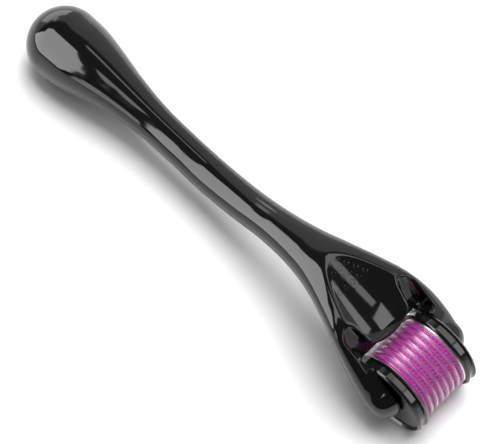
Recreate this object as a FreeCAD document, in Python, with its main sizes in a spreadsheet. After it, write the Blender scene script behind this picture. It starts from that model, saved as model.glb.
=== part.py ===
import FreeCAD, Part
import math
import os
import Sketcher
from FreeCAD import Placement, Rotation, Vector

# Microneedle skin roller: a two-shell handle that ends in a fork, with a needle drum on a steel axle.
# Frame: X across the fork, -Y towards the drum, +Z up, lying on the needles and the bulb.
# Distances "from the axle" run towards the bulb; shift() turns them into model Y.

DIMENSIONS = {
    # drum
    "axle_height": 10.75,
    "axle_radius": 1.25,
    "axle_length": 27.2,
    "axle_clearance": 0.05,
    "axle_bevel": 0.25,
    "core_flats": 5.5,
    "core_length": 18.3,
    "key_clearance": 0.03,
    "flange_radius": 10.3,
    "flange_width": 1.95,
    "flange_recess_depth": 0.5,
    "flange_recess_inner": 4.2,
    "flange_recess_outer": 8.7,
    "flange_bevel": 0.25,
    "plate_count": 9,
    "plate_thickness": 0.26,
    "plate_pitch": 1.825,
    "plate_radius": 9.1,
    "needle_count": 60,
    "needle_tip_radius": 10.75,
    "needle_root_width": 0.5,
    "needle_tip_width": 0.06,
    "needle_overlap": 0.15,
    "spacer_radius": 9.7,
    "spacer_crown": 0.15,
    "spacer_bore_radius": 3.3,
    # fork
    "fork_half_gap": 9.65,
    "drum_clearance_radius": 12.0,
    "tip_radius": 5.4,
    "tip_rise": 6.2,
    "tip_half_width": 12.0,
    # handle
    "bulb_radius": 10.25,
    "bulb_place": 124.0,
    "bulb_centre": 10.1,
    "wall": 2.0,
    "cavity_front": 20.0,
    "post_radius": 1.9,
    "pin_radius": 1.0,
    "pin_reach": 1.5,
    "socket_clearance": 0.04,
    "socket_floor_gap": 0.2,
    # thumb pad
    "pad_arc_radius": 54.0,
    "pad_scoop_radius": 26.0,
    "pad_apex_place": 35.0,
    "pad_apex_height": 29.35,
    "lip_place": 7.8,
    "lip_height": 20.5,
    "lip_arc_radius": 24.0,
    "lip_lean": 38.0,
    "lip_half_width": 7.6,
    "lip_reach": 14.0,
    "valley_foot_place": 8.9,
    "valley_foot_height": 18.0,
    "valley_slope": 52.75,
    "valley_depth": 9.0,
    "tongue_end": 1.3,
    "tongue_half_width": 7.0,
    "tongue_round": 5.5,
    "dot_radius": 0.45,
    "dot_rise": 0.22,
    "dot_pitch": 2.1,
    "dot_row_pitch": 2.1,
    "dot_front_row": 22.0,
}

# Handle sections, bulb to axle: place from the axle, half width, centre height,
# half height above and below the centre, squareness of the outline (2 is an ellipse).
SECTIONS = {
    "bulb_neckward": (118.0, 9.85, 11.1, 9.5, 9.5, 2.0),
    "taper_wide": (110.5, 8.35, 12.4, 7.9, 7.9, 2.0),
    "taper_narrow": (101.5, 6.4, 13.3, 6.1, 6.1, 2.0),
    "neck_rear": (91.0, 5.0, 13.4, 5.0, 5.0, 2.0),
    "neck_middle": (80.0, 4.7, 13.3, 4.75, 4.75, 2.0),
    "neck_front": (69.0, 4.8, 13.5, 4.7, 4.7, 2.0),
    "rise_low": (58.0, 4.75, 15.5, 4.7, 4.7, 2.0),
    "rise_middle": (47.5, 4.9, 19.0, 4.7, 4.7, 2.0),
    "rise_high": (38.0, 5.9, 22.0, 4.8, 4.8, 2.1),
    "hump_rear": (30.0, 7.7, 24.0, 5.1, 4.9, 2.2),
    "hump_front": (22.0, 10.3, 24.0, 5.3, 4.9, 2.4),
    "shoulder": (15.0, 12.8, 21.9, 6.0, 5.0, 2.8),
    "arm_root": (8.5, 14.4, 17.6, 7.0, 5.2, 3.2),
    "arm_middle": (3.5, 15.0, 13.0, 7.1, 5.3, 3.6),
}
SECTION_FIELDS = ("place", "half_width", "centre", "above", "below", "squareness")
OUTLINE_POINTS = 40
END_ANGLES = (30.0, 55.0, 74.0, 86.0)
DOT_ROWS = (5, 4, 3, 2)

# Valleys beside the tongue, on their sloping floor: distance from the middle, then up the slope.
VALLEY_INNER = ((7.6, 9.8), (8.6, 12.6))
VALLEY_OUTER = ((10.0, 11.0), (10.9, 9.6), (11.4, 7.8), (11.4, 0.4))
TONGUE_STEPS = 8
POST_PLACES = (26.0, 66.0, 118.0)

doc = FreeCAD.newDocument("SkinRoller")
sheet = doc.addObject("Spreadsheet::Sheet", "Dimensions")


def fill_sheet():
    """One row per dimension: its name, then its value under an alias of the same name."""
    rows = dict(DIMENSIONS)
    for name, values in SECTIONS.items():
        for field, value in zip(SECTION_FIELDS, values):
            rows[f"{name}_{field}"] = value
    for row, (name, value) in enumerate(rows.items(), start=1):
        sheet.set(f"A{row}", name)
        sheet.set(f"B{row}", str(value))
        sheet.setAlias(f"B{row}", name)
    doc.recompute()


def size(name):
    return float(sheet.get(name))


def shift(place):
    """Model Y of a place measured from the axle; the bounding box is centred on the origin."""
    tail = size("bulb_place") + size("bulb_radius")
    return place - (tail - size("needle_tip_radius")) / 2


def bind(obj, **expressions):
    for prop, expression in expressions.items():
        obj.setExpression(prop, expression)
    return obj


def add(kind, name, **expressions):
    return bind(doc.addObject(kind, name), **expressions)


def cut(name, base, tool):
    obj = doc.addObject("Part::Cut", name)
    obj.Base = base
    obj.Tool = tool
    return obj


def common(name, base, tool):
    obj = doc.addObject("Part::Common", name)
    obj.Base = base
    obj.Tool = tool
    return obj


def fuse(name, *shapes):
    obj = doc.addObject("Part::MultiFuse", name)
    obj.Shapes = list(shapes)
    return obj


ALONG_X = Rotation(Vector(0, 1, 0), 90)


def cylinder_x(name, radius, length, centre=Vector(0, 0, 0)):
    """A cylinder along X, centred on the given point; radius and length are expressions."""
    obj = add("Part::Cylinder", name, Radius=radius, Height=length)
    doc.recompute()
    obj.Placement = Placement(centre - Vector(obj.Height.Value / 2, 0, 0), ALONG_X)
    return obj


# ---------------------------------------------------------------- handle

def outline(place, half_width, centre, above, below, squareness):
    """A closed superellipse across the handle, as one periodic curve."""
    points = []
    for step in range(OUTLINE_POINTS):
        angle = 2 * math.pi * step / OUTLINE_POINTS
        c, s = math.cos(angle), math.sin(angle)
        x = half_width * math.copysign(abs(c) ** (2 / squareness), c)
        reach = above if s > 0 else below
        z = centre + reach * math.copysign(abs(s) ** (2 / squareness), s)
        points.append(Vector(x, shift(place), z))
    curve = Part.BSplineCurve()
    curve.interpolate(Points=points, PeriodicFlag=True)
    return Part.Wire([curve.toShape()])


def section_values(inset):
    """All sections from tail to fork tips, each pulled in by the inset."""
    centre, radius = size("bulb_centre"), size("bulb_radius") - inset
    values = []
    for angle in reversed(END_ANGLES):
        reach = radius * math.sin(math.radians(angle))
        width = radius * math.cos(math.radians(angle))
        values.append((size("bulb_place") + reach, width, centre, width, width, 2.0))
    values.append((size("bulb_place"), radius, centre, radius, radius, 2.0))
    for name in SECTIONS:
        place, half_width, middle, above, below, squareness = (
            size(f"{name}_{field}") for field in SECTION_FIELDS)
        values.append((place, half_width - inset, middle, above - inset, below - inset, squareness))
    squareness = size("arm_middle_squareness")
    half_width, tip, rise = size("arm_middle_half_width"), size("tip_radius"), size("tip_rise")
    for angle in (0.0,) + END_ANGLES:
        c, s = math.cos(math.radians(angle)), math.sin(math.radians(angle))
        width = size("tip_half_width") + (half_width - size("tip_half_width")) * c
        values.append((-tip * s, width, size("axle_height"), rise * c, tip * c, squareness))
    return values


def loft(name, values):
    wires = []
    for index, value in enumerate(values):
        wire = doc.addObject("Part::Feature", f"{name}Outline{index}")
        wire.Shape = outline(*value)
        wires.append(wire)
    obj = doc.addObject("Part::Loft", name)
    obj.Sections = wires
    obj.Solid = True
    return obj


def upper_region():
    """Everything above the parting surface, which follows the section centres."""
    reach, top, overhang = 20.0, 45.0, 8.0
    seam = [(value[0], value[2]) for value in section_values(0.0)]
    seam = [(shift(place), height) for place, height in seam[::-1]]
    points = [Vector(-reach, y, z) for y, z in seam[::2]]
    points[0] = Vector(-reach, seam[0][0] - overhang, size("axle_height"))
    points[-1] = Vector(-reach, seam[-1][0] + overhang, seam[-1][1])
    curve = Part.BSplineCurve()
    curve.interpolate(Points=points)
    first, last = points[0], points[-1]
    corners = [last, Vector(-reach, last.y, top), Vector(-reach, first.y, top), first]
    closing = [Part.makeLine(a, b) for a, b in zip(corners, corners[1:])]
    face = Part.Face(Part.Wire([curve.toShape()] + closing))
    region = doc.addObject("Part::Feature", "UpperRegion")
    region.Shape = face.extrude(Vector(2 * reach, 0, 0))
    return region


def pad_scoop():
    """A torus about a cross axis under the pad: it hollows the pad from side to side."""
    torus = add("Part::Torus", "PadScoop",
                Radius1="Dimensions.pad_arc_radius + Dimensions.pad_scoop_radius",
                Radius2="Dimensions.pad_scoop_radius")
    centre = Vector(0, shift(size("pad_apex_place")), size("pad_apex_height") - size("pad_arc_radius"))
    torus.Placement = Placement(centre, ALONG_X)
    reach, length, below_lip = 20.0, 40.0, 2.0
    limits = add("Part::Box", "PadLimits",
                 Length=f"{reach} mm", Width=f"{length} mm", Height=f"{reach} mm")
    limits.Placement = Placement(Vector(-reach / 2, shift(0), size("lip_height") - below_lip), Rotation())
    return common("PadHollow", torus, limits)


def lip_trim():
    """Clears the space ahead of the pad's lip, whose face leans back and is slightly hollow."""
    lead, height, length = 8.0, 20.0, 60.0
    block = add("Part::Box", "LipBlock", Width="Dimensions.lip_reach",
                Length="2 * Dimensions.lip_half_width", Height=f"{height} mm")
    low = size("lip_height") - lead / 2
    corner = Vector(-size("lip_half_width"), shift(size("lip_place") - lead), low)
    block.Placement = Placement(corner, Rotation())
    bend = add("Part::Cylinder", "LipRound", Radius="Dimensions.lip_arc_radius", Height=f"{length} mm")
    lean = Rotation(Vector(1, 0, 0), -size("lip_lean"))
    ahead = size("lip_arc_radius") / math.cos(math.radians(size("lip_lean")))
    foot = Vector(0, shift(size("lip_place") - ahead), size("lip_height"))
    bend.Placement = Placement(foot - lean.multVec(Vector(0, 0, length / 2)), lean)
    return common("LipTrim", block, bend)


def on_valley_floor(x, rise):
    """The point of the valleys' floor at a distance from the middle and up the slope."""
    slope = math.radians(size("valley_slope"))
    return Vector(x, shift(size("valley_foot_place") + rise * math.cos(slope)),
                  size("valley_foot_height") + rise * math.sin(slope))


def valleys():
    """The flat-floored space round the tongue, which parts it from the fork arms."""
    end, half_width, round_off = size("tongue_end"), size("tongue_half_width"), size("tongue_round")
    arc = []
    for step in range(-TONGUE_STEPS, TONGUE_STEPS + 1):
        angle = step / TONGUE_STEPS * math.pi / 2
        arc.append(on_valley_floor(half_width * math.sin(angle), end + round_off * (1 - math.cos(angle))))
    curve = Part.BSplineCurve()
    curve.interpolate(Points=arc)
    right = [on_valley_floor(x, rise) for x, rise in VALLEY_INNER + VALLEY_OUTER]
    left = [on_valley_floor(-x, rise) for x, rise in (VALLEY_INNER + VALLEY_OUTER)[::-1]]
    corners = [arc[-1]] + right + left + [arc[0]]
    sides = [Part.makeLine(a, b) for a, b in zip(corners, corners[1:])]
    face = Part.Face(Part.Wire([curve.toShape()] + sides))
    slope = math.radians(size("valley_slope"))
    out = Vector(0, -math.sin(slope), math.cos(slope))
    space = doc.addObject("Part::Feature", "Valleys")
    space.Shape = face.extrude(out * size("valley_depth"))
    return space


def pad_surface(x, place):
    """Height of the scooped pad at a point."""
    arc, scoop = size("pad_arc_radius"), size("pad_scoop_radius")
    radius = arc + scoop - math.sqrt(scoop ** 2 - x ** 2)
    drop = place - size("pad_apex_place")
    return size("pad_apex_height") - arc + math.sqrt(radius ** 2 - drop ** 2)


def pad_dots():
    """Grip dots in rows that narrow towards the pad's apex."""
    dots = []
    for row, count in enumerate(DOT_ROWS):
        place = size("dot_front_row") + row * size("dot_row_pitch")
        for index in range(count):
            x = (index - (count - 1) / 2) * size("dot_pitch")
            dot = add("Part::Sphere", f"Dot{row}{index}", Radius="Dimensions.dot_radius")
            height = pad_surface(x, place) + size("dot_rise") - size("dot_radius")
            dot.Placement = Placement(Vector(x, shift(place), height), Rotation())
            dots.append(dot)
    return dots


def locating_posts():
    """Posts that cross the cavity, and the pins that key one shell to the other."""
    posts, pins, sockets = [], [], []
    reach = 20.0
    values = {round(value[0], 3): value for value in section_values(0.0)}
    places = sorted(values)
    for index, place in enumerate(POST_PLACES):
        after = next(p for p in places if p > place)
        before = places[places.index(after) - 1]
        part = (place - before) / (after - before)
        seam = values[before][2] + part * (values[after][2] - values[before][2])
        foot = Vector(0, shift(place), seam)
        post = add("Part::Cylinder", f"Post{index}",
                   Radius="Dimensions.post_radius", Height=f"{2 * reach} mm")
        post.Placement = Placement(foot - Vector(0, 0, reach), Rotation())
        posts.append(post)
        pin = add("Part::Cylinder", f"Pin{index}", Radius="Dimensions.pin_radius",
                  Height="2 * Dimensions.pin_reach")
        pin.Placement = Placement(foot - Vector(0, 0, size("pin_reach")), Rotation())
        pins.append(pin)
        socket = add("Part::Cylinder", f"Socket{index}",
                     Radius="Dimensions.pin_radius + Dimensions.socket_clearance",
                     Height="2 * (Dimensions.pin_reach + Dimensions.socket_floor_gap)")
        depth = size("pin_reach") + size("socket_floor_gap")
        socket.Placement = Placement(foot - Vector(0, 0, depth), Rotation())
        sockets.append(socket)
    return fuse("Posts", *posts), fuse("Pins", *pins), fuse("Sockets", *sockets)


def make_handle():
    outer = loft("OuterForm", section_values(0.0))
    inner_values = [value for value in section_values(size("wall")) if value[0] > size("cavity_front")]
    inner = loft("Cavity", inner_values)
    posts, pins, sockets = locating_posts()
    cavity = cut("CavityAroundPosts", inner, posts)
    hollow = cut("HollowForm", outer, cavity)
    gap = cylinder_x("DrumClearance", "Dimensions.drum_clearance_radius", "2 * Dimensions.fork_half_gap",
                     Vector(0, shift(0), size("axle_height")))
    forked = cut("ForkedForm", hollow, gap)
    seat = cylinder_x("AxleSeat", "Dimensions.axle_radius", "Dimensions.axle_length",
                      Vector(0, shift(0), size("axle_height")))
    drilled = cut("SeatedForm", forked, seat)
    width, length, depth = 60.0, 300.0, 5.0
    floor = add("Part::Box", "FloorCut", Length=f"{width} mm", Width=f"{length} mm", Height=f"{depth} mm")
    floor.Placement = Placement(Vector(-width / 2, -length / 2, -depth), Rotation())
    form = cut("HandleForm", drilled, floor)

    region = upper_region()
    upper_half = common("UpperHalf", form, region)
    scooped = cut("ScoopedHalf", upper_half, cut("PadTool", pad_scoop(), fuse("PadDots", *pad_dots())))
    lipped = cut("LippedHalf", scooped, lip_trim())
    trimmed = cut("TrimmedHalf", lipped, valleys())
    upper = cut("SocketedHalf", trimmed, sockets)
    upper.Label = "handle_upper_shell"

    lower_half = cut("LowerHalf", form, region)
    lower = fuse("PinnedHalf", lower_half, pins)
    lower.Label = "handle_lower_shell"
    return [upper, lower]


# ---------------------------------------------------------------- drum

def origin_plane(body, role):
    return next(item for item in body.Origin.OriginFeatures if item.Role == role)


def new_body(name, x):
    """A body whose own Z axis runs along the axle, with its own XY plane at model X = x."""
    body = doc.addObject("PartDesign::Body", "Body_" + name)
    body.Label = name
    body.Placement = Placement(Vector(x, shift(0), size("axle_height")), ALONG_X)
    return body


def new_sketch(body, name, role):
    sketch = body.newObject("Sketcher::SketchObject", name)
    sketch.AttachmentSupport = [(origin_plane(body, role), "")]
    sketch.MapMode = "FlatFace"
    return sketch


def bind_sizes(sketch, sizes):
    """Driving constraints: kind, the points or curves it holds, first value, expression."""
    for kind, ends, value, expression in sizes:
        index = sketch.addConstraint(Sketcher.Constraint(kind, *ends, value))
        sketch.setExpression(f"Constraints[{index}]", expression)


def add_circle(sketch, radius):
    """A circle about the sketch's origin, its radius bound to an expression."""
    index = sketch.addGeometry(Part.Circle(Vector(0, 0, 0), Vector(0, 0, 1), 5.0), False)
    sketch.addConstraint(Sketcher.Constraint("Coincident", index, 3, -1, 1))
    bound = sketch.addConstraint(Sketcher.Constraint("Radius", index, 5.0))
    sketch.setExpression(f"Constraints[{bound}]", radius)
    return index


def add_hexagon(sketch, flats):
    """A hexagon about the sketch's origin with two flats facing along the sketch's Y."""
    corner = size("core_flats") / math.sqrt(3)
    points = [Vector(corner * math.cos(math.radians(60 * k)), corner * math.sin(math.radians(60 * k)), 0)
              for k in range(6)]
    first = sketch.GeometryCount
    for k in range(6):
        sketch.addGeometry(Part.LineSegment(points[k], points[(k + 1) % 6]), False)
    guide = sketch.addGeometry(Part.Circle(Vector(0, 0, 0), Vector(0, 0, 1), corner), True)
    sketch.addConstraint(Sketcher.Constraint("Coincident", guide, 3, -1, 1))
    for k in range(6):
        sketch.addConstraint(Sketcher.Constraint("Coincident", first + k, 2, first + (k + 1) % 6, 1))
        sketch.addConstraint(Sketcher.Constraint("PointOnObject", first + k, 1, guide))
        if k:
            sketch.addConstraint(Sketcher.Constraint("Equal", first, first + k))
    sketch.addConstraint(Sketcher.Constraint("PointOnObject", first, 1, -1))
    bound = sketch.addConstraint(Sketcher.Constraint("Radius", guide, corner))
    sketch.setExpression(f"Constraints[{bound}]", f"({flats}) / sqrt(3)")


def pad(body, sketch, name, length):
    feature = body.newObject("PartDesign::Pad", name)
    feature.Profile = sketch
    feature.setExpression("Length", length)
    feature.Midplane = True
    return feature


def make_axle():
    axle = cylinder_x("Axle", "Dimensions.axle_radius", "Dimensions.axle_length",
                      Vector(0, shift(0), size("axle_height")))
    rounded = doc.addObject("Part::Chamfer", "ChamferedAxle")
    doc.recompute()
    rounded.Base = axle
    rims = [index for index, edge in enumerate(axle.Shape.Edges, start=1)
            if isinstance(edge.Curve, Part.Circle)]
    bevel = size("axle_bevel")
    rounded.Edges = [(index, bevel, bevel) for index in rims]
    rounded.Label = "axle"
    return rounded


def make_hub_core():
    body = new_body("hub_core", 0.0)
    sketch = new_sketch(body, "CoreProfile", "XY_Plane")
    add_hexagon(sketch, "Dimensions.core_flats")
    add_circle(sketch, "Dimensions.axle_radius + Dimensions.axle_clearance")
    pad(body, sketch, "CorePad", "Dimensions.core_length")
    return body


def make_needle_plate(number):
    count = int(size("plate_count"))
    body = new_body(f"needle_plate_{number}", (number - (count + 1) / 2) * size("plate_pitch"))
    disc = new_sketch(body, f"DiscProfile{number}", "XY_Plane")
    add_circle(disc, "Dimensions.plate_radius")
    add_hexagon(disc, "Dimensions.core_flats + 2 * Dimensions.key_clearance")
    pad(body, disc, f"DiscPad{number}", "Dimensions.plate_thickness")
    tooth = new_sketch(body, f"NeedleProfile{number}", "XY_Plane")
    add_needle(tooth)
    needle = pad(body, tooth, f"NeedlePad{number}", "Dimensions.plate_thickness")
    doc.recompute()
    pattern = body.newObject("PartDesign::PolarPattern", f"Needles{number}")
    pattern.Originals = [needle]
    pattern.Axis = (disc, ["N_Axis"])
    pattern.Angle = 360
    pattern.setExpression("Occurrences", "Dimensions.needle_count")
    body.Tip = pattern
    return body


def add_needle(sketch):
    """One tapered needle that stands out along the sketch's X axis."""
    root = size("plate_radius") - size("needle_overlap")
    tip = size("needle_tip_radius")
    half_root, half_tip = size("needle_root_width") / 2, size("needle_tip_width") / 2
    corners = [Vector(root, -half_root, 0), Vector(tip, -half_tip, 0),
               Vector(tip, half_tip, 0), Vector(root, half_root, 0)]
    for k in range(4):
        sketch.addGeometry(Part.LineSegment(corners[k], corners[(k + 1) % 4]), False)
    for k in range(4):
        sketch.addConstraint(Sketcher.Constraint("Coincident", k, 2, (k + 1) % 4, 1))
    sketch.addConstraint(Sketcher.Constraint("Symmetric", 0, 1, 2, 2, -1))
    sketch.addConstraint(Sketcher.Constraint("Symmetric", 0, 2, 2, 1, -1))
    bind_sizes(sketch, (
        ("DistanceX", (-1, 1, 0, 1), root, "Dimensions.plate_radius - Dimensions.needle_overlap"),
        ("DistanceX", (-1, 1, 0, 2), tip, "Dimensions.needle_tip_radius"),
        ("DistanceY", (3, 2, 3, 1), 2 * half_root, "Dimensions.needle_root_width"),
        ("DistanceY", (1, 1, 1, 2), 2 * half_tip, "Dimensions.needle_tip_width"),
    ))


def make_spacer(number):
    """A ring with a slightly crowned rim, turned about the axle."""
    count = int(size("plate_count"))
    body = new_body(f"spacer_ring_{number}", (number - count / 2) * size("plate_pitch"))
    sketch = new_sketch(body, f"RingProfile{number}", "XZ_Plane")
    half = (size("plate_pitch") - size("plate_thickness")) / 2
    inner, edge = size("spacer_bore_radius"), size("spacer_radius") - size("spacer_crown")
    low_in, low_out = Vector(inner, -half, 0), Vector(edge, -half, 0)
    high_out, high_in = Vector(edge, half, 0), Vector(inner, half, 0)
    sketch.addGeometry(Part.LineSegment(low_in, low_out), False)
    sketch.addGeometry(Part.Arc(low_out, Vector(size("spacer_radius"), 0, 0), high_out), False)
    sketch.addGeometry(Part.LineSegment(high_out, high_in), False)
    sketch.addGeometry(Part.LineSegment(high_in, low_in), False)
    for k in range(4):
        sketch.addConstraint(Sketcher.Constraint("Coincident", k, 2, (k + 1) % 4, 1))
    for line in (0, 2):
        sketch.addConstraint(Sketcher.Constraint("Horizontal", line))
    sketch.addConstraint(Sketcher.Constraint("Symmetric", 0, 1, 3, 1, -1))
    sketch.addConstraint(Sketcher.Constraint("PointOnObject", 1, 3, -1))
    width = "(Dimensions.plate_pitch - Dimensions.plate_thickness)"
    crown = "Dimensions.spacer_crown"
    bind_sizes(sketch, (
        ("DistanceX", (-1, 1, 0, 1), inner, "Dimensions.spacer_bore_radius"),
        ("DistanceX", (-1, 1, 0, 2), edge, f"Dimensions.spacer_radius - {crown}"),
        ("DistanceY", (0, 1, 3, 1), 2 * half, width),
        ("Radius", (1,), (half ** 2 + size("spacer_crown") ** 2) / (2 * size("spacer_crown")),
         f"({width}^2 / 4 + {crown}^2) / (2 * {crown})"),
    ))
    turn = body.newObject("PartDesign::Revolution", f"Ring{number}")
    turn.Profile = sketch
    turn.ReferenceAxis = (sketch, ["V_Axis"])
    turn.Angle = 360
    return body


def make_flange(name, side):
    outer_face = (size("plate_count") - 1) / 2 * size("plate_pitch") + size("plate_thickness") / 2
    body = new_body(name, side * (outer_face + size("flange_width") / 2))
    disc = new_sketch(body, name + "_disc", "XY_Plane")
    add_circle(disc, "Dimensions.flange_radius")
    add_hexagon(disc, "Dimensions.core_flats + 2 * Dimensions.key_clearance")
    pad(body, disc, name + "_pad", "Dimensions.flange_width")
    ring = new_sketch(body, name + "_recess", "XY_Plane")
    ring.AttachmentOffset = Placement(Vector(0, 0, side * size("flange_width") / 2), Rotation())
    add_circle(ring, "Dimensions.flange_recess_inner")
    add_circle(ring, "Dimensions.flange_recess_outer")
    doc.recompute()
    before = body.Shape.Volume
    pocket = body.newObject("PartDesign::Pocket", name + "_pocket")
    pocket.Profile = ring
    pocket.setExpression("Length", "Dimensions.flange_recess_depth")
    pocket.Reversed = side < 0
    doc.recompute()
    if body.Shape.Volume >= before - 1.0:
        raise RuntimeError(name + ": the recess cut nothing")
    bevel = body.newObject("PartDesign::Chamfer", name + "_bevel")
    rims = [f"Edge{index}" for index, edge in enumerate(pocket.Shape.Edges, start=1)
            if isinstance(edge.Curve, Part.Circle)
            and abs(edge.Curve.Radius - size("flange_radius")) < 1e-6]
    bevel.Base = (pocket, rims)
    bevel.setExpression("Size", "Dimensions.flange_bevel")
    return body


def make_drum():
    parts = [make_axle(), make_hub_core(), make_flange("left_flange", -1), make_flange("right_flange", 1)]
    count = int(size("plate_count"))
    parts += [make_needle_plate(number) for number in range(1, count + 1)]
    parts += [make_spacer(number) for number in range(1, count)]
    return parts


# ---------------------------------------------------------------- output

def check(parts):
    failed = [obj.Name for obj in doc.Objects if "Invalid" in obj.State or "Error" in obj.State]
    if failed:
        raise RuntimeError("failed: " + ", ".join(failed))
    for obj in parts:
        if obj.Shape.isNull() or not obj.Shape.isValid():
            raise RuntimeError(f"{obj.Label}: no valid shape")
        if obj.Shape.ShapeType == "Compound" and len(obj.Shape.Solids) != 1:
            raise RuntimeError(f"{obj.Label}: {len(obj.Shape.Solids)} solids")


def write(parts):
    os.makedirs("parts", exist_ok=True)
    for obj in parts:
        obj.Shape.exportStep(f"parts/{obj.Label}.step")
        box = obj.Shape.BoundBox
        print(f"{obj.Label:22s} volume {obj.Shape.Volume:9.2f}  "
              f"x {box.XMin:7.2f} {box.XMax:6.2f}  y {box.YMin:7.2f} {box.YMax:6.2f}  "
              f"z {box.ZMin:6.2f} {box.ZMax:6.2f}")


fill_sheet()
pieces = make_handle() + make_drum()
doc.recompute()
check(pieces)
write(pieces)
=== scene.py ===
import math

import bmesh
import bpy
import numpy as np
from mathutils import Matrix, Vector


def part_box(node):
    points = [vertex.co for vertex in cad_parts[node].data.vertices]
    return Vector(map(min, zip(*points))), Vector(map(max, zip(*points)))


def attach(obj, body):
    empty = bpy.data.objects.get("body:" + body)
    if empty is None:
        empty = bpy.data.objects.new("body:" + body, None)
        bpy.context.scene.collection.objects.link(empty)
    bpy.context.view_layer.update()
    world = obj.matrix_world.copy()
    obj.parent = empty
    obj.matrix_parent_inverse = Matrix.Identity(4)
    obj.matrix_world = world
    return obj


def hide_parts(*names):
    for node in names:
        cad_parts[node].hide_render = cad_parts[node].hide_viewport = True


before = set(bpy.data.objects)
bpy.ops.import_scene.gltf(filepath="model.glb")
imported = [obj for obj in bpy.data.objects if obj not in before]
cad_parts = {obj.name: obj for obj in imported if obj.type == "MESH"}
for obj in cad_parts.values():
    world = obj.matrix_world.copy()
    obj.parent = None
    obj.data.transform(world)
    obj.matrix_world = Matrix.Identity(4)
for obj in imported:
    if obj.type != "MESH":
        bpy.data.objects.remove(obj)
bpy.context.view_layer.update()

MM = 0.001

# ---------------------------------------------------------------- where the CAD pieces are

AXLE_LOW, AXLE_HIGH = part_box("axle")
AXLE = (AXLE_LOW + AXLE_HIGH) / 2            # centre of the drum
AXLE_Z = AXLE.z / MM
AXLE_RADIUS = (AXLE_HIGH.z - AXLE_LOW.z) / 2 / MM
AXLE_HALF = AXLE_HIGH.x / MM


def place(y):
    """Distance from the axle towards the bulb, in mm, of a model Y in metres."""
    return (y - AXLE.y) / MM


# ---------------------------------------------------------------- the handle's form, in mm
# Sections from the bulb to the fork: distance from the axle, half width, centre height,
# half height above and below the centre, squareness of the outline.
SECTIONS = (
    (118.0, 9.85, 11.1, 9.5, 9.5, 2.0),
    (110.5, 8.35, 12.4, 7.9, 7.9, 2.0),
    (101.5, 6.4, 13.3, 6.1, 6.1, 2.0),
    (91.0, 5.0, 13.4, 5.0, 5.0, 2.0),
    (80.0, 4.7, 13.3, 4.75, 4.75, 2.0),
    (69.0, 4.8, 13.5, 4.7, 4.7, 2.0),
    (58.0, 4.75, 15.5, 4.7, 4.7, 2.0),
    (47.5, 4.9, 19.0, 4.7, 4.7, 2.0),
    (38.0, 5.9, 22.0, 4.8, 4.8, 2.1),
    (30.0, 7.7, 24.0, 5.1, 4.9, 2.2),
    (22.0, 10.3, 24.0, 5.3, 4.9, 2.4),
    (15.0, 12.8, 21.9, 6.0, 5.0, 2.8),
    (8.5, 14.4, 17.6, 7.0, 5.2, 3.2),
    (3.5, 15.0, 13.0, 7.1, 5.3, 3.6),
)
BULB_RADIUS = 10.25
BULB_PLACE = place(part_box("handle_lower_shell")[1].y) - BULB_RADIUS
BULB_Z = 10.1
TIP_RADIUS = 5.4
TIP_RISE = 6.2
TIP_HALF_WIDTH = 12.0
WALL = 2.0
CAVITY_FRONT = 20.0
POST_PLACES = (26.0, 66.0, 118.0)
POST_RADIUS = 1.9
FORK_HALF_GAP = 9.65
DRUM_CLEARANCE = 12.0
PAD_ARC = 54.0
PAD_SCOOP = 26.0
PAD_APEX = (35.0, 29.35)
PAD_HALF_WIDTH = 10.0
PAD_BACK = 40.0
PAD_FLOOR = 18.0
LIP_PLACE = 7.8
LIP_Z = 20.5
LIP_ARC = 24.0
LIP_LEAN = math.radians(38.0)
LIP_HALF_WIDTH = 7.6
LIP_LEAD = 8.0
LIP_REACH = 14.0
VALLEY_FOOT = (8.9, 18.0)
VALLEY_SLOPE = math.radians(52.75)
VALLEY_SIDES = ((8.6, 12.6), (10.0, 11.0), (10.9, 9.6), (11.4, 7.8), (11.4, 0.4), (0.0, 0.4))
TONGUE_SIDES = ((7.0, 6.8), (7.6, 9.8), (8.6, 12.6))
TONGUE_ROUND = 5.5

# Roundings where the parts of the form meet.
POST_EDGE = 0.6
CAVITY_FRONT_EDGE = 1.0
POCKET_EDGE = 1.6
FORK_EDGE = 0.7
SEAT_EDGE = 0.15
CAVITY_EDGE = 0.5
PAD_EDGE = 0.35
LIP_EDGE = 0.6
VALLEY_TOP_EDGE = 0.8
VALLEY_SIDE_EDGE = 0.4
VALLEY_FLOOR_EDGE = 1.2
PARTING_EDGE = 0.3


def knots():
    """All section rows from the axle to the bulb, as an array."""
    tail = (BULB_PLACE, BULB_RADIUS, BULB_Z, BULB_RADIUS, BULB_RADIUS, 2.0)
    _, half_width, _, _, _, squareness = SECTIONS[-1]
    front = (0.0, half_width, AXLE_Z, TIP_RISE, TIP_RADIUS, squareness)
    return np.array((front,) + SECTIONS[::-1] + (tail,))


KNOTS = knots()


def slopes(rows):
    """Hermite slopes at the knots: level at both ends, Catmull-Rom between."""
    u, v = rows[:, 0], rows[:, 1:]
    steps = np.diff(u)[:, None]
    rates = np.diff(v, axis=0) / steps
    m = np.zeros_like(v)
    m[1:-1] = (rates[:-1] * steps[1:] + rates[1:] * steps[:-1]) / (steps[1:] + steps[:-1])
    return m


SLOPES = slopes(KNOTS)


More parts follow.
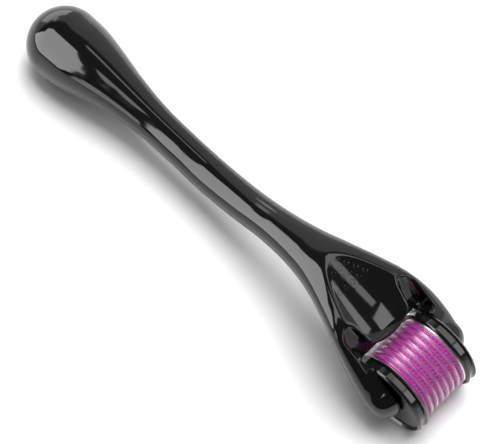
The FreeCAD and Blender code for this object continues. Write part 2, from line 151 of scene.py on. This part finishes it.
def section(u):
    """Section values and their rates of change at each place u."""
    u = np.clip(u, KNOTS[0, 0], KNOTS[-1, 0])
    k = np.clip(np.searchsorted(KNOTS[:, 0], u, side="right") - 1, 0, len(KNOTS) - 2)
    width = KNOTS[k + 1, 0] - KNOTS[k, 0]
    t = ((u - KNOTS[k, 0]) / width)[:, None]
    h = width[:, None]
    a, b, ma, mb = KNOTS[k, 1:], KNOTS[k + 1, 1:], SLOPES[k] * h, SLOPES[k + 1] * h
    value = (2 * t**3 - 3 * t**2 + 1) * a + (t**3 - 2 * t**2 + t) * ma \
        + (3 * t**2 - 2 * t**3) * b + (t**3 - t**2) * mb
    rate = ((6 * t**2 - 6 * t) * (a - b) + (3 * t**2 - 4 * t + 1) * ma + (3 * t**2 - 2 * t) * mb) / h
    return value, rate


def smooth_max(a, b, k):
    """The larger of two fields, with the corner between them rounded over about k."""
    h = np.maximum(k - np.abs(a - b), 0) / k
    return np.maximum(a, b) + h * h * k / 4


def form_field(p, inset=0.0):
    """Signed distance, nearly, to the handle's outer form or to the form pulled in by inset."""
    x, u, z = np.abs(p[:, 0]), p[:, 1], p[:, 2]
    value, rate = section(u)
    w, c, above, below, n = value.T
    dw, dc, da, db, _ = rate.T
    w, above, below = w - inset, above - inset, below - inset
    up = z > c
    h = np.where(up, above, below)
    dh = np.where(up, da, db)
    ahead = u < 0
    tip = TIP_RADIUS - inset
    swing = np.sqrt(np.clip(1 - (u / tip) ** 2, 0, 1))
    tip_w = TIP_HALF_WIDTH - inset
    w = np.where(ahead, tip_w + (w - tip_w) * swing, w)
    stretch = np.where(ahead, h / tip, 1.0)
    reach = np.where(ahead, np.hypot(z - AXLE_Z, u * stretch), np.abs(z - c))
    fx, fz = x / w, reach / h
    r = np.maximum((fx**n + fz**n), 1e-12) ** (1 / n)
    lead = r ** (1 - n)
    gx = lead * fx ** (n - 1) / w
    gz = lead * fz ** (n - 1) / h
    side = np.where(up, 1.0, -1.0)
    gu = lead * (fx**n * dw / w + fz ** (n - 1) * side * dc / h + fz**n * dh / h)
    gu = np.where(ahead, 0.0, gu)
    body = (r - 1) / np.sqrt(gx**2 + gz**2 + gu**2 + 1e-12)
    ball = np.sqrt(p[:, 0] ** 2 + (u - BULB_PLACE) ** 2 + (z - BULB_Z) ** 2) - (BULB_RADIUS - inset)
    return np.where(u > BULB_PLACE, ball, body)


def parting_field(p):
    """Positive above the surface where the two shells meet."""
    value, rate = section(p[:, 1])
    return (p[:, 2] - value[:, 1]) / np.sqrt(1 + rate[:, 1] ** 2)


def cavity_field(p):
    """The handle's hollow, with the posts left standing in it."""
    hollow = smooth_max(form_field(p, WALL), CAVITY_FRONT - p[:, 1], CAVITY_FRONT_EDGE)
    for post in POST_PLACES:
        hollow = smooth_max(hollow, POST_RADIUS - np.hypot(p[:, 0], p[:, 1] - post), POST_EDGE)
    return hollow


def axle_distance(p):
    return np.hypot(p[:, 1], p[:, 2] - AXLE_Z)


def forked_field(p):
    """The hollow form with the drum's pocket and the axle's seat."""
    x = np.abs(p[:, 0])
    pocket = smooth_max(axle_distance(p) - DRUM_CLEARANCE, x - FORK_HALF_GAP, POCKET_EDGE)
    body = smooth_max(form_field(p), -pocket, FORK_EDGE)
    seat = np.maximum(axle_distance(p) - AXLE_RADIUS, x - AXLE_HALF)
    body = smooth_max(body, -seat, SEAT_EDGE)
    return smooth_max(body, -cavity_field(p), CAVITY_EDGE)


def scoop_field(p):
    """The space that hollows out the pad."""
    ring = np.hypot(p[:, 1] - PAD_APEX[0], p[:, 2] - PAD_APEX[1] + PAD_ARC) - (PAD_ARC + PAD_SCOOP)
    torus = np.hypot(ring, p[:, 0]) - PAD_SCOOP
    sides = np.abs(p[:, 0]) - PAD_HALF_WIDTH
    limits = np.maximum.reduce((sides, p[:, 1] - PAD_BACK, -p[:, 1], PAD_FLOOR - p[:, 2]))
    return np.maximum(torus, limits)


def lip_field(p):
    """The space ahead of the pad's lip, whose face leans back and is slightly hollow."""
    v, w = p[:, 1] - LIP_PLACE, p[:, 2] - LIP_Z
    across = v * math.cos(LIP_LEAN) - w * math.sin(LIP_LEAN) + LIP_ARC
    ahead_of_face = np.hypot(p[:, 0], across) - LIP_ARC
    limits = np.maximum(v + LIP_LEAD - LIP_REACH, -w - LIP_LEAD / 2)
    return np.maximum.reduce((ahead_of_face, limits, np.abs(p[:, 0]) - LIP_HALF_WIDTH))


def beside(x, rise, corners):
    """Signed distance from a chain of lines in the valleys' plan, positive on its outer side."""
    sides = []
    for (x0, rise0), (x1, rise1) in zip(corners, corners[1:]):
        length = math.hypot(x1 - x0, rise1 - rise0)
        sides.append(((x - x0) * (rise0 - rise1) + (rise - rise0) * (x1 - x0)) / length)
    return np.maximum.reduce(sides)


def valley_field(p):
    """The flat-floored space round the tongue, which parts it from the fork arms."""
    x, v, w = np.abs(p[:, 0]), p[:, 1] - VALLEY_FOOT[0], p[:, 2] - VALLEY_FOOT[1]
    rise = v * math.cos(VALLEY_SLOPE) + w * math.sin(VALLEY_SLOPE)
    out = w * math.cos(VALLEY_SLOPE) - v * math.sin(VALLEY_SLOPE)
    half_width, round_off = TONGUE_SIDES[0][0], TONGUE_ROUND
    below = TONGUE_SIDES[0][1] - rise
    inside_round = (1 - np.hypot(x / half_width, below / round_off)) * round_off
    tongue = np.where(below > 0, inside_round, beside(x, rise, TONGUE_SIDES))
    space = smooth_max(beside(x, rise, VALLEY_SIDES), tongue, VALLEY_SIDE_EDGE)
    return smooth_max(space, -out, VALLEY_FLOOR_EDGE)


def lower_field(p):
    return smooth_max(forked_field(p), parting_field(p), PARTING_EDGE)


def upper_field(p):
    body = smooth_max(forked_field(p), -scoop_field(p), PAD_EDGE)
    body = smooth_max(body, -lip_field(p), LIP_EDGE)
    body = smooth_max(body, -valley_field(p), VALLEY_TOP_EDGE)
    return smooth_max(body, -parting_field(p), PARTING_EDGE)


GRADIENT_STEP = 0.01
LEAST_SLOPE_SQUARED = 0.05
LONGEST_MOVE = 0.3


def gradient(field, p):
    """The field's rate of change along each axis."""
    g = np.empty_like(p)
    for axis in range(3):
        shift = np.zeros(3)
        shift[axis] = GRADIENT_STEP
        g[:, axis] = (field(p + shift) - field(p - shift)) / (2 * GRADIENT_STEP)
    return g


def settle(field, p, rounds):
    """Moves points onto the field's zero surface."""
    for _ in range(rounds):
        g = gradient(field, p)
        slope_squared = np.maximum((g**2).sum(1), LEAST_SLOPE_SQUARED)
        step = (field(p) / slope_squared)[:, None] * g
        far = np.maximum(np.linalg.norm(step, axis=1, keepdims=True), 1e-9)
        p = p - step * np.minimum(1, LONGEST_MOVE / far)
    return p


def relax(p, edges, share):
    """Evens out the spacing of the points along the mesh's edges."""
    total, count = np.zeros_like(p), np.zeros(len(p))
    for a, b in ((0, 1), (1, 0)):
        np.add.at(total, edges[:, a], p[edges[:, b]])
        np.add.at(count, edges[:, a], 1)
    return p + share * (total / count[:, None] - p)


# ---------------------------------------------------------------- helpers

def link(obj):
    bpy.context.scene.collection.objects.link(obj)
    return obj


def read_points(mesh):
    co = np.empty(len(mesh.vertices) * 3, np.float64)
    mesh.vertices.foreach_get("co", co)
    return co.reshape(-1, 3)


def evaluated(obj):
    """The object's mesh with its modifiers applied, as a new mesh."""
    graph = bpy.context.evaluated_depsgraph_get()
    graph.update()
    return bpy.data.meshes.new_from_object(obj.evaluated_get(graph))


def finish_piece(obj, body, material, node):
    """Gives a piece its one material and its body, and hides the CAD node it stands for."""
    obj.data.materials.clear()
    obj.data.materials.append(material)
    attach(obj, body)
    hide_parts(node)


# ---------------------------------------------------------------- handle shells

SHELL_CELL = 0.3
DOT_ROWS = (5, 4, 3, 2)
DOT_FRONT_ROW = 22.0
DOT_PITCH = 2.1
DOT_ROW_PITCH = 2.1
# Radius and height of each ring of points on a dot, from its foot to its top.
DOT_PROFILE = ((0.62, -0.05), (0.5, 0.0), (0.42, 0.04), (0.37, 0.1), (0.29, 0.17), (0.18, 0.21),
               (0.08, 0.22))
DOT_SEGMENTS = 20


def pad_height(x, u):
    """Height of the scooped pad above the floor."""
    radius = PAD_ARC + PAD_SCOOP - math.sqrt(PAD_SCOOP**2 - x**2)
    return PAD_APEX[1] - PAD_ARC + math.sqrt(radius**2 - (u - PAD_APEX[0]) ** 2)


def dot_points(foot, up):
    """One dot's points and normals: a ring for each row of the profile, then the top."""
    side = up.orthogonal().normalized()
    other = up.cross(side)
    points, normals = [], []
    for k, (radius, rise) in enumerate(DOT_PROFILE):
        last = DOT_PROFILE[max(k - 1, 0)]
        ahead = DOT_PROFILE[min(k + 1, len(DOT_PROFILE) - 1)]
        run = Vector((last[0] - ahead[0], ahead[1] - last[1])).normalized()
        for step in range(DOT_SEGMENTS):
            a = math.tau * step / DOT_SEGMENTS
            out = side * math.cos(a) + other * math.sin(a)
            points.append(foot + out * radius + up * rise)
            normals.append(out * run.y + up * run.x)
    points.append(foot + up * DOT_PROFILE[-1][1])
    normals.append(up)
    return points, normals


def dot_faces(start):
    """One dot's faces, where start is the number of its first point."""
    faces = []
    for k in range(len(DOT_PROFILE) - 1):
        for step in range(DOT_SEGMENTS):
            a = start + k * DOT_SEGMENTS + step
            b = start + k * DOT_SEGMENTS + (step + 1) % DOT_SEGMENTS
            faces.append((a, b, b + DOT_SEGMENTS, a + DOT_SEGMENTS))
    ring = start + (len(DOT_PROFILE) - 1) * DOT_SEGMENTS
    top = ring + DOT_SEGMENTS
    for step in range(DOT_SEGMENTS):
        faces.append((ring + step, ring + (step + 1) % DOT_SEGMENTS, top))
    return faces


def pad_dots():
    """Raised grip dots on the pad: points, faces and normals."""
    points, faces, normals = [], [], []
    for row, count in enumerate(DOT_ROWS):
        u = DOT_FRONT_ROW + row * DOT_ROW_PITCH
        for index in range(count):
            x = (index - (count - 1) / 2) * DOT_PITCH
            foot = Vector((x, u, pad_height(x, u)))
            up = Vector(gradient(scoop_field, np.array([foot[:]]))[0]).normalized()
            faces += dot_faces(len(points))
            more_points, more_normals = dot_points(foot, up)
            points += more_points
            normals += more_normals
    return np.array(points), faces, np.array(normals)


def even_quads(node):
    """The CAD node's solid as a closed mesh of even quads: points in mm, edges and faces."""
    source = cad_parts[node]
    base = link(bpy.data.objects.new(node + "_base", source.data.copy()))
    remesh = base.modifiers.new("even_quads", "REMESH")
    remesh.mode = "VOXEL"
    remesh.voxel_size = SHELL_CELL * MM
    mesh = evaluated(base)
    bpy.data.objects.remove(base)
    p = read_points(mesh) / MM
    p[:, 1] -= AXLE.y / MM
    edges = np.empty(len(mesh.edges) * 2, np.int64)
    mesh.edges.foreach_get("vertices", edges)
    faces = [tuple(poly.vertices) for poly in mesh.polygons]
    bpy.data.meshes.remove(mesh)
    return p, edges.reshape(-1, 2), faces


def make_shell(name, node, field, extra=None):
    """A smooth shell: the CAD node's solid in even quads, settled onto the analytic form."""
    p, edges, faces = even_quads(node)
    p = settle(field, p, 4)
    for _ in range(3):
        p = settle(field, relax(p, edges, 0.5), 1)
    p = settle(field, p, 3)
    normals = gradient(field, p)
    if extra:
        more_p, more_faces, more_normals = extra
        faces += [tuple(i + len(p) for i in face) for face in more_faces]
        p = np.concatenate((p, more_p))
        normals = np.concatenate((normals, more_normals))
    normals /= np.linalg.norm(normals, axis=1, keepdims=True)
    p[:, 1] += AXLE.y / MM
    mesh = bpy.data.meshes.new(name)
    mesh.from_pydata(p * MM, [], faces)
    mesh.shade_smooth()
    mesh.normals_split_custom_set_from_vertices(normals)
    return link(bpy.data.objects.new(name, mesh))


# ---------------------------------------------------------------- drum

PLATE_COUNT = 9                              # with a spacer ring between each two
CORE_FLATS = 5.56
ROUND_STEPS = 4
BORE = 2.9
KEYED_WITHIN = 3.05                          # points nearer the axle than this follow the hexagon
RING_BORE = 3.3
RING_EDGE = 9.58
RING_CROWN = 0.12
RING_ROUNDING = 0.1
CROWN_STEPS = 8
FLANGE_RADIUS = 10.3
FLANGE_BORE_ROUNDING = 0.05
FLANGE_INNER_ROUNDING = 0.25
FLANGE_OUTER_ROUNDING = 0.35
PLATE_RADIUS = 9.1
PLATE_BORE_ROUNDING = 0.02
PLATE_RIM_ROUNDING = 0.04
RING_SEGMENTS = 160
FLANGE_SEGMENTS = 192
PLATE_SEGMENTS = 120
TURNED_SHARP = math.radians(38)
NEEDLE_SHARP = math.radians(50)
NORMAL_WEIGHT = 80


def rounded(corners):
    """A closed outline from corners given as (radius from axle, x, rounding).

    A rounded corner starts and ends where its arc would touch the sides. The points between lie 1 mm
    from the arc's centre, because slerp gives a vector of length 1, so the corner flares outwards.
    """
    outline = []
    count = len(corners)
    for k, (r, x, rounding) in enumerate(corners):
        here = Vector((r, x))
        if not rounding:
            outline.append(here)
            continue
        before = (Vector(corners[k - 1][:2]) - here).normalized()
        after = (Vector(corners[(k + 1) % count][:2]) - here).normalized()
        half = before.angle(after) / 2
        reach = rounding / math.tan(half)
        centre = here + (before + after).normalized() * (rounding / math.sin(half))
        start, end = here + before * reach - centre, here + after * reach - centre
        outline.append(centre + start)
        for step in range(1, ROUND_STEPS):
            outline.append(centre + start.slerp(end, step / ROUND_STEPS))
        outline.append(centre + end)
    return outline


def hexagon_radius(angle):
    """Distance from the axle to the hub core's side in the given direction."""
    turn = math.radians(60)
    return CORE_FLATS / 2 / math.cos((angle + turn / 2) % turn - turn / 2)


def lathe(name, outline, segments, keyed=0.0):
    """A ring turned about the axle; points nearer to it than keyed follow the core's hexagon."""
    mesh = bpy.data.meshes.new(name)
    points, faces = [], []
    count = len(outline)
    for step in range(segments):
        a = math.tau * step / segments
        for r, x in outline:
            radius = hexagon_radius(a) if r < keyed else r
            y, z = AXLE.y + radius * MM * math.cos(a), AXLE.z + radius * MM * math.sin(a)
            points.append((x * MM, y, z))
        for k in range(count):
            a0, b0 = step * count + k, step * count + (k + 1) % count
            a1 = (step + 1) % segments * count + k
            b1 = (step + 1) % segments * count + (k + 1) % count
            faces.append((a0, a1, b1, b0))
    mesh.from_pydata(points, [], faces)
    bm = bmesh.new()
    bm.from_mesh(mesh)
    bmesh.ops.recalc_face_normals(bm, faces=bm.faces)
    bm.to_mesh(mesh)
    bm.free()
    mesh.shade_smooth()
    mesh.set_sharp_from_angle(angle=TURNED_SHARP)
    obj = link(bpy.data.objects.new(name, mesh))
    even = obj.modifiers.new("weighted_normals", "WEIGHTED_NORMAL")
    even.keep_sharp = True
    even.weight = NORMAL_WEIGHT
    return obj


def span(node):
    """A CAD node's extent along the axle, in mm."""
    low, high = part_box(node)
    return low.x / MM, high.x / MM


def ring_outline(x0, x1):
    """A spacer ring's outline, whose rim bulges between its two edges."""
    corners = [(RING_BORE, x1, RING_ROUNDING), (RING_BORE, x0, RING_ROUNDING),
               (RING_EDGE - RING_ROUNDING, x0, RING_ROUNDING)]
    for step in range(CROWN_STEPS + 1):
        t = step / CROWN_STEPS
        x = x0 + RING_ROUNDING + (x1 - x0 - 2 * RING_ROUNDING) * t
        corners.append((RING_EDGE + RING_CROWN * (1 - (2 * t - 1) ** 2), x, 0))
    corners.append((RING_EDGE - RING_ROUNDING, x1, RING_ROUNDING))
    return rounded(corners)


def make_spacer(number, material):
    """A clear purple ring between two needle plates."""
    node = f"spacer_ring_{number}"
    ring = lathe(f"purple_ring_{number}", ring_outline(*span(node)), RING_SEGMENTS)
    finish_piece(ring, "roller", material, node)


def make_flange(side, material):
    """An end flange with no recess: its faces are flat between its flared corners."""
    node = f"{side}_flange"
    inner, outer = span(node)
    if side == "left":
        inner, outer = outer, inner
    outline = rounded([
        (BORE, inner, FLANGE_BORE_ROUNDING), (FLANGE_RADIUS, inner, FLANGE_INNER_ROUNDING),
        (FLANGE_RADIUS, outer, FLANGE_OUTER_ROUNDING), (BORE, outer, FLANGE_BORE_ROUNDING)])
    flange = lathe(f"{side}_end_flange", outline, FLANGE_SEGMENTS, KEYED_WITHIN)
    finish_piece(flange, "roller", material, node)


NEEDLE_COUNT = 60
# Radius from the axle, half width round the drum and half width along it, from foot to tip.
NEEDLE_RINGS = ((8.9, 0.22, 0.11), (9.55, 0.2, 0.11), (9.9, 0.13, 0.1), (10.4, 0.07, 0.06),
                (10.75, 0.015, 0.015))
NEEDLE_SIDES = 8


def add_needle(bm, angle, x):
    """One fine needle, broad at its foot."""
    out = Vector((0, math.cos(angle), math.sin(angle)))
    round_drum = Vector((0, -math.sin(angle), math.cos(angle)))
    rings = []
    for radius, half_round, half_along in NEEDLE_RINGS:
        ring = []
        for k in range(NEEDLE_SIDES):
            a = math.tau * k / NEEDLE_SIDES
            p = AXLE + (out * radius + round_drum * half_round * math.cos(a)) * MM
            p.x = (x + half_along * math.sin(a)) * MM
            ring.append(bm.verts.new(p))
        rings.append(ring)
    for low, high in zip(rings, rings[1:]):
        for k in range(NEEDLE_SIDES):
            j = (k + 1) % NEEDLE_SIDES
            bm.faces.new((low[k], low[j], high[j], high[k]))
    bm.faces.new(rings[-1])
    bm.faces.new(rings[0][::-1])


def make_needle_plate(number, material):
    """A thin steel disc with its needles."""
    node = f"needle_plate_{number}"
    x0, x1 = span(node)
    outline = rounded([
        (BORE, x1, PLATE_BORE_ROUNDING), (BORE, x0, PLATE_BORE_ROUNDING),
        (PLATE_RADIUS, x0, PLATE_RIM_ROUNDING), (PLATE_RADIUS, x1, PLATE_RIM_ROUNDING)])
    plate = lathe(f"needle_disc_{number}", outline, PLATE_SEGMENTS, KEYED_WITHIN)
    bm = bmesh.new()
    bm.from_mesh(plate.data)
    for k in range(NEEDLE_COUNT):
        add_needle(bm, math.tau * k / NEEDLE_COUNT, (x0 + x1) / 2)
    for face in bm.faces:
        face.smooth = True
    bmesh.ops.recalc_face_normals(bm, faces=bm.faces)
    bm.to_mesh(plate.data)
    bm.free()
    plate.data.set_sharp_from_angle(angle=NEEDLE_SHARP)
    finish_piece(plate, "roller", material, node)


# ---------------------------------------------------------------- materials

# Scales are for noise(), and depths are in metres.
PLASTIC_IOR = 1.5
PLASTIC_POLISH_SCALE = 350.0
PLASTIC_RIPPLE_SCALE = 900.0
PLASTIC_RIPPLE_DEPTH = 0.0000015
METAL_POLISH_SCALE = 2500.0
METAL_GRAIN_SCALE = 6000.0
METAL_GRAIN_DEPTH = 0.000002
FLOOR_GRAIN_SCALE = 60.0


def new_material(name):
    material = bpy.data.materials.new(name)
    material.use_nodes = True
    return material, material.node_tree, material.node_tree.nodes["Principled BSDF"]


def noise(tree, scale, detail=2.0):
    """Noise fixed to the piece: features of about 1 / scale metres."""
    place_node = tree.nodes.new("ShaderNodeTexCoord")
    texture = tree.nodes.new("ShaderNodeTexNoise")
    texture.inputs["Scale"].default_value = scale
    texture.inputs["Detail"].default_value = detail
    tree.links.new(place_node.outputs["Object"], texture.inputs["Vector"])
    return texture.outputs["Fac"]


def remap(tree, value, low, high):
    """Spreads a noise value over the range from low to high."""
    node = tree.nodes.new("ShaderNodeMapRange")
    node.inputs["From Min"].default_value = 0.3
    node.inputs["From Max"].default_value = 0.7
    node.inputs["To Min"].default_value = low
    node.inputs["To Max"].default_value = high
    tree.links.new(value, node.inputs["Value"])
    return node.outputs["Result"]


def bump(tree, shader, value, depth):
    """Raises the surface by up to depth metres where the value is high."""
    node = tree.nodes.new("ShaderNodeBump")
    node.inputs["Distance"].default_value = depth
    node.inputs["Strength"].default_value = 1.0
    tree.links.new(value, node.inputs["Height"])
    tree.links.new(node.outputs["Normal"], shader.inputs["Normal"])


def moulded_plastic(name, colour, rough_low, rough_high):
    """Gloss moulded plastic: faint ripples and uneven polish."""
    material, tree, shader = new_material(name)
    shader.inputs["Base Color"].default_value = (*colour, 1)
    shader.inputs["IOR"].default_value = PLASTIC_IOR
    polish = noise(tree, PLASTIC_POLISH_SCALE, 4.0)
    tree.links.new(remap(tree, polish, rough_low, rough_high), shader.inputs["Roughness"])
    bump(tree, shader, noise(tree, PLASTIC_RIPPLE_SCALE), PLASTIC_RIPPLE_DEPTH)
    return material, shader


def metal(name, colour, rough_low, rough_high):
    """Turned or stamped metal: fine grain and uneven polish."""
    material, tree, shader = new_material(name)
    shader.inputs["Base Color"].default_value = (*colour, 1)
    shader.inputs["Metallic"].default_value = 1.0
    polish = noise(tree, METAL_POLISH_SCALE, 3.0)
    tree.links.new(remap(tree, polish, rough_low, rough_high), shader.inputs["Roughness"])
    bump(tree, shader, noise(tree, METAL_GRAIN_SCALE), METAL_GRAIN_DEPTH)
    return material


GLOSS_BLACK, _ = moulded_plastic("gloss_black_abs", (0.0035, 0.0034, 0.0038), 0.04, 0.08)
FLANGE_BLACK, _ = moulded_plastic("flange_black_abs", (0.006, 0.006, 0.0065), 0.07, 0.13)
CORE_BLACK, _ = moulded_plastic("core_black_abs", (0.012, 0.01, 0.014), 0.25, 0.4)
# The needle steel's pink tint is a painted reflection of the purple rings around the needles, not the
# steel's own colour.
PINK_REFLECTION_STEEL = metal("needle_steel", (0.72, 0.6, 0.66), 0.25, 0.4)
AXLE_STEEL = metal("axle_steel", (0.62, 0.62, 0.63), 0.14, 0.26)
PURPLE, purple_shader = moulded_plastic("clear_purple_pc", (0.36, 0.03, 0.27), 0.22, 0.32)
purple_shader.inputs["Transmission Weight"].default_value = 0.08


# ---------------------------------------------------------------- the object

upper = make_shell("handle_top", "handle_upper_shell", upper_field, pad_dots())
finish_piece(upper, "handle", GLOSS_BLACK, "handle_upper_shell")
lower = make_shell("handle_bottom", "handle_lower_shell", lower_field)
finish_piece(lower, "handle", GLOSS_BLACK, "handle_lower_shell")
for spacer in range(1, PLATE_COUNT):
    make_spacer(spacer, PURPLE)
for plate in range(1, PLATE_COUNT + 1):
    make_needle_plate(plate, PINK_REFLECTION_STEEL)
for flange_side in ("left", "right"):
    make_flange(flange_side, FLANGE_BLACK)
for cad_node, cad_material in (("axle", AXLE_STEEL), ("hub_core", CORE_BLACK)):
    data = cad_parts[cad_node].data
    data.materials.clear()
    data.materials.append(cad_material)


# ---------------------------------------------------------------- camera

# Angles in degrees, the rest in mm.
CAMERA_AZIMUTH = -44.141
CAMERA_ELEVATION = 66.232
CAMERA_ROLL = -0.169
CAMERA_DISTANCE = 430.0
CAMERA_AIM = (-3.827, -6.166, 13.75)
CAMERA_LENS = 131.796525
CAMERA_SENSOR = 36.0


def make_camera():
    azimuth, elevation, roll = (math.radians(a) for a in (CAMERA_AZIMUTH, CAMERA_ELEVATION, CAMERA_ROLL))
    back = Vector((math.sin(azimuth) * math.cos(elevation), -math.cos(azimuth) * math.cos(elevation),
                   math.sin(elevation)))
    level = Vector((math.cos(azimuth), math.sin(azimuth), 0))
    above = back.cross(level)
    right = level * math.cos(roll) + above * math.sin(roll)
    up = above * math.cos(roll) - level * math.sin(roll)
    matrix = Matrix((right, up, back)).transposed().to_4x4()
    matrix.translation = (Vector(CAMERA_AIM) + CAMERA_DISTANCE * back) * MM
    data = bpy.data.cameras.new("camera")
    data.sensor_width = CAMERA_SENSOR
    data.lens = CAMERA_LENS
    data.clip_start = 0.01
    camera = link(bpy.data.objects.new("camera", data))
    camera.matrix_world = matrix
    bpy.context.scene.camera = camera


make_camera()


# ---------------------------------------------------------------- studio

CARD_DISTANCE = 800.0
KEY_PLACE = (165, 10, 600)
KEY_SIZE = 420
KEY_RADIANCE = 9.5
FILL_PLACE = (0, 0, 900)
FILL_SIZE = 600
FILL_RADIANCE = 2.3
WORLD_DARK = 0.08
WORLD_BRIGHT = 0.75
WORLD_AXIS = (45.0, 200.0)                   # degrees from overhead and from +X
WORLD_EDGE = (80.0, 86.0)                    # degrees from that axis
FLOOR_REACH = 2.0                            # metres
# Each softbox: name, radiance, and corners as degrees from overhead towards +X and +Y.
CARDS = (
    ("softbox_left", 5.5, ((-9, 24), (-7, 38), (-12, 51), (-22, 53), (-33, 82), (-67, 57), (-80, 32),
                           (-72, 23), (-50, 19), (-30, 19.5))),
    ("softbox_low", 3.0, ((-68, 12.5), (-70, 20), (-86, 25), (-88, 15), (-88, 12))),
    ("softbox_front", 3.2, ((-13, -5), (-12.5, 16), (-20, 14.5), (-30, 11.8), (-48, 12.5), (-49, 9),
                            (-30, 5), (-18, -5))),
    ("drum_back", 2.6, ((12, 52), (26, 52), (28, 80), (12, 80))),
    ("strip_a", 2.8, ((13.5, -32), (20, -32), (20.5, 0), (21, 24), (16, 24), (15, 5), (13, -5))),
    ("strip_b", 3.5, ((30.5, -8), (35, -8), (45, -34), (44, -38), (36, -38))),
    ("drum_box", 3.6, ((10, -34), (27, -36), (31, -66), (12, -68))),
    ("back_light", 3.0, ((45, 50), (0, 66), (0, 88), (40, 80), (68, 58))),
)


def make_floor():
    """A plain, pale sheet under the roller."""
    mesh = bpy.data.meshes.new("floor")
    corners = [(-FLOOR_REACH, -FLOOR_REACH, 0), (FLOOR_REACH, -FLOOR_REACH, 0),
               (FLOOR_REACH, FLOOR_REACH, 0), (-FLOOR_REACH, FLOOR_REACH, 0)]
    mesh.from_pydata(corners, [], [(0, 1, 2, 3)])
    floor = link(bpy.data.objects.new("floor", mesh))
    material, tree, shader = new_material("white_sweep")
    shader.inputs["Base Color"].default_value = (0.86, 0.86, 0.86, 1)
    shader.inputs["Specular IOR Level"].default_value = 0.0
    tree.links.new(remap(tree, noise(tree, FLOOR_GRAIN_SCALE), 0.8, 0.9), shader.inputs["Roughness"])
    mesh.materials.append(material)


def direction(polar, azimuth):
    """Unit vector at an angle from overhead and an angle from +X, in radians."""
    across = math.sin(polar)
    return Vector((across * math.cos(azimuth), across * math.sin(azimuth), math.cos(polar)))


def glow_card(name, radiance, corners):
    """A softbox seen only in reflections and through clear plastic, CARD_DISTANCE from the origin."""
    points = []
    for lean_x, lean_y in corners:
        way = direction(math.radians(math.hypot(lean_x, lean_y)), math.atan2(lean_y, lean_x))
        points.append(way * CARD_DISTANCE * MM)
    mesh = bpy.data.meshes.new(name)
    mesh.from_pydata(points, [], [tuple(range(len(points)))])
    material = bpy.data.materials.new(name)
    material.use_nodes = True
    tree = material.node_tree
    tree.nodes.clear()
    emission = tree.nodes.new("ShaderNodeEmission")
    emission.inputs["Strength"].default_value = radiance
    output = tree.nodes.new("ShaderNodeOutputMaterial")
    tree.links.new(emission.outputs[0], output.inputs["Surface"])
    mesh.materials.append(material)
    card = link(bpy.data.objects.new(name, mesh))
    card.visible_camera = False
    card.visible_diffuse = False
    card.visible_shadow = False


def diffuse_light(name, location, size, radiance, shadow):
    """A square light aimed at the origin, not seen in reflections: location and size in mm."""
    data = bpy.data.lights.new(name, "AREA")
    data.shape = "SQUARE"
    data.size = size * MM
    data.energy = radiance * math.pi * data.size**2
    data.use_shadow = shadow
    light = link(bpy.data.objects.new(name, data))
    light.location = Vector(location) * MM
    light.rotation_euler = (-Vector(location)).to_track_quat("-Z", "Y").to_euler()
    light.visible_glossy = False


def make_world(dark, bright, axis, edge):
    """Dark above and towards the camera, white low down: dark within edge degrees of the axis."""
    world = bpy.data.worlds.new("studio")
    bpy.context.scene.world = world
    world.use_nodes = True
    tree = world.node_tree
    tree.nodes["Background"].inputs["Color"].default_value = (1, 1, 1, 1)
    coords = tree.nodes.new("ShaderNodeTexCoord")
    dot = tree.nodes.new("ShaderNodeVectorMath")
    dot.operation = "DOT_PRODUCT"
    polar, azimuth = (math.radians(a) for a in axis)
    dot.inputs[1].default_value = direction(polar, azimuth)
    tree.links.new(coords.outputs["Generated"], dot.inputs[0])
    ramp = tree.nodes.new("ShaderNodeMapRange")
    ramp.interpolation_type = "SMOOTHSTEP"
    ramp.inputs["From Min"].default_value = math.cos(math.radians(edge[1]))
    ramp.inputs["From Max"].default_value = math.cos(math.radians(edge[0]))
    ramp.inputs["To Min"].default_value = bright
    ramp.inputs["To Max"].default_value = dark
    tree.links.new(dot.outputs["Value"], ramp.inputs["Value"])
    tree.links.new(ramp.outputs["Result"], tree.nodes["Background"].inputs["Strength"])


make_floor()
make_world(WORLD_DARK, WORLD_BRIGHT, WORLD_AXIS, WORLD_EDGE)
diffuse_light("key", KEY_PLACE, KEY_SIZE, KEY_RADIANCE, True)
diffuse_light("fill", FILL_PLACE, FILL_SIZE, FILL_RADIANCE, False)
for card_name, card_radiance, card_corners in CARDS:
    glow_card(card_name, card_radiance, card_corners)
bpy.context.scene.view_settings.view_transform = "Standard"
